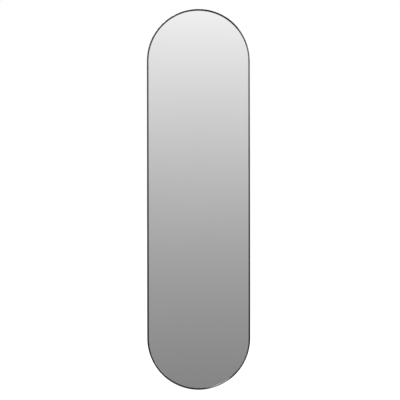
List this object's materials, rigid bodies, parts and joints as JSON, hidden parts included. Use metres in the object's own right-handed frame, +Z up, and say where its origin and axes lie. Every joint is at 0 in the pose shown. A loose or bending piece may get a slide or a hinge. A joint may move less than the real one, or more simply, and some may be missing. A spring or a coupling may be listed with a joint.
{
  "type": "pull-out closet mirror",
  "caption": "Full-length stadium-shaped mirror in a slim metal frame that pulls out of a closet on side-mounted ball-bearing slides and swivels to face the user.",
  "frame": {"origin": "middle of the wall plate's back face, which is screwed to the closet side panel", "axes": "+X is the pull-out direction, out of the closet; the mirror faces -Y when stowed; +Z is up"},
  "size_m": [0.33, 0.0487, 1.219],
  "materials": {
    "frame_metal": "polished black nickel",
    "silvered_glass": "polished",
    "black_rubber": "matt",
    "foam_tape": "matt",
    "dark_board": "satin laminate",
    "painted_steel": "powder coated",
    "white_nylon": "moulded",
    "black_plastic": "moulded",
    "bright_steel": "bright",
    "zinc_steel": "zinc plated"
  },
  "bodies": {
    "wall": {"wall_plate": "painted_steel", "upper_outer_rail": "zinc_steel", "lower_outer_rail": "zinc_steel", "upper_rail_stop": "black_plastic", "lower_rail_stop": "black_plastic", "upper_rear_rail_rivet": "zinc_steel", "upper_front_rail_rivet": "zinc_steel", "lower_rear_rail_rivet": "zinc_steel", "lower_front_rail_rivet": "zinc_steel"},
    "upper_outer_balls": {"upper_outer_ball_retainer": "bright_steel"},
    "upper_middle": {"upper_middle_rail": "zinc_steel"},
    "upper_inner_balls": {"upper_inner_ball_retainer": "bright_steel"},
    "lower_outer_balls": {"lower_outer_ball_retainer": "bright_steel"},
    "lower_middle": {"lower_middle_rail": "zinc_steel"},
    "lower_inner_balls": {"lower_inner_ball_retainer": "bright_steel"},
    "carriage": {"carriage_spine": "painted_steel", "hinge_post": "bright_steel", "post_lock_nut": "zinc_steel", "upper_thrust_washer": "white_nylon", "lower_thrust_washer": "white_nylon", "upper_inner_rail": "zinc_steel", "upper_rear_spine_screw": "zinc_steel", "upper_front_spine_screw": "zinc_steel", "upper_stow_buffer": "black_rubber", "upper_buffer_screw": "zinc_steel", "lower_inner_rail": "zinc_steel", "lower_rear_spine_screw": "zinc_steel", "lower_front_spine_screw": "zinc_steel", "lower_stow_buffer": "black_rubber", "lower_buffer_screw": "zinc_steel"},
    "mirror": {"backing_board": "dark_board", "front_foam_tape": "foam_tape", "glass_seal": "black_rubber", "hinge_leaf": "painted_steel", "leaf_screw_1": "zinc_steel", "leaf_screw_2": "zinc_steel", "leaf_screw_3": "zinc_steel", "leaf_screw_4": "zinc_steel", "leaf_screw_5": "zinc_steel", "leaf_screw_6": "zinc_steel", "lower_inner_hinge_bush": "white_nylon", "lower_outer_hinge_bush": "white_nylon", "middle_foam_tape": "foam_tape", "mirror_frame": "frame_metal", "mirror_glass": "silvered_glass", "rear_foam_tape": "foam_tape", "retaining_clip_1": "zinc_steel", "retaining_clip_10": "zinc_steel", "retaining_clip_2": "zinc_steel", "retaining_clip_3": "zinc_steel", "retaining_clip_4": "zinc_steel", "retaining_clip_5": "zinc_steel", "retaining_clip_6": "zinc_steel", "retaining_clip_7": "zinc_steel", "retaining_clip_8": "zinc_steel", "retaining_clip_9": "zinc_steel", "upper_inner_hinge_bush": "white_nylon", "upper_outer_hinge_bush": "white_nylon"}
  },
  "joints": [
    {"name": "pull_out", "type": "slide", "parent": "wall", "child": "carriage", "axis": [1, 0, 0], "range_m": [0, 0.28]},
    {"name": "mirror_swivel", "type": "hinge", "parent": "carriage", "child": "mirror", "pos_m": [0.147, -0.02526, 0], "axis": [0, 0, 1], "range_deg": [0, 90]},
    {"name": "upper_outer_balls_slide", "type": "slide", "parent": "wall", "child": "upper_outer_balls", "axis": [1, 0, 0], "range_m": [0, 0.07]},
    {"name": "upper_middle_slide", "type": "slide", "parent": "wall", "child": "upper_middle", "axis": [1, 0, 0], "range_m": [0, 0.14]},
    {"name": "upper_inner_balls_slide", "type": "slide", "parent": "wall", "child": "upper_inner_balls", "axis": [1, 0, 0], "range_m": [0, 0.21]},
    {"name": "lower_outer_balls_slide", "type": "slide", "parent": "wall", "child": "lower_outer_balls", "axis": [1, 0, 0], "range_m": [0, 0.07]},
    {"name": "lower_middle_slide", "type": "slide", "parent": "wall", "child": "lower_middle", "axis": [1, 0, 0], "range_m": [0, 0.14]},
    {"name": "lower_inner_balls_slide", "type": "slide", "parent": "wall", "child": "lower_inner_balls", "axis": [1, 0, 0], "range_m": [0, 0.21]}
  ],
  "couplings": [
    {"joint": "upper_outer_balls_slide", "follows": "pull_out", "ratio": 0.25},
    {"joint": "upper_middle_slide", "follows": "pull_out", "ratio": 0.5},
    {"joint": "upper_inner_balls_slide", "follows": "pull_out", "ratio": 0.75},
    {"joint": "lower_outer_balls_slide", "follows": "pull_out", "ratio": 0.25},
    {"joint": "lower_middle_slide", "follows": "pull_out", "ratio": 0.5},
    {"joint": "lower_inner_balls_slide", "follows": "pull_out", "ratio": 0.75}
  ]
}
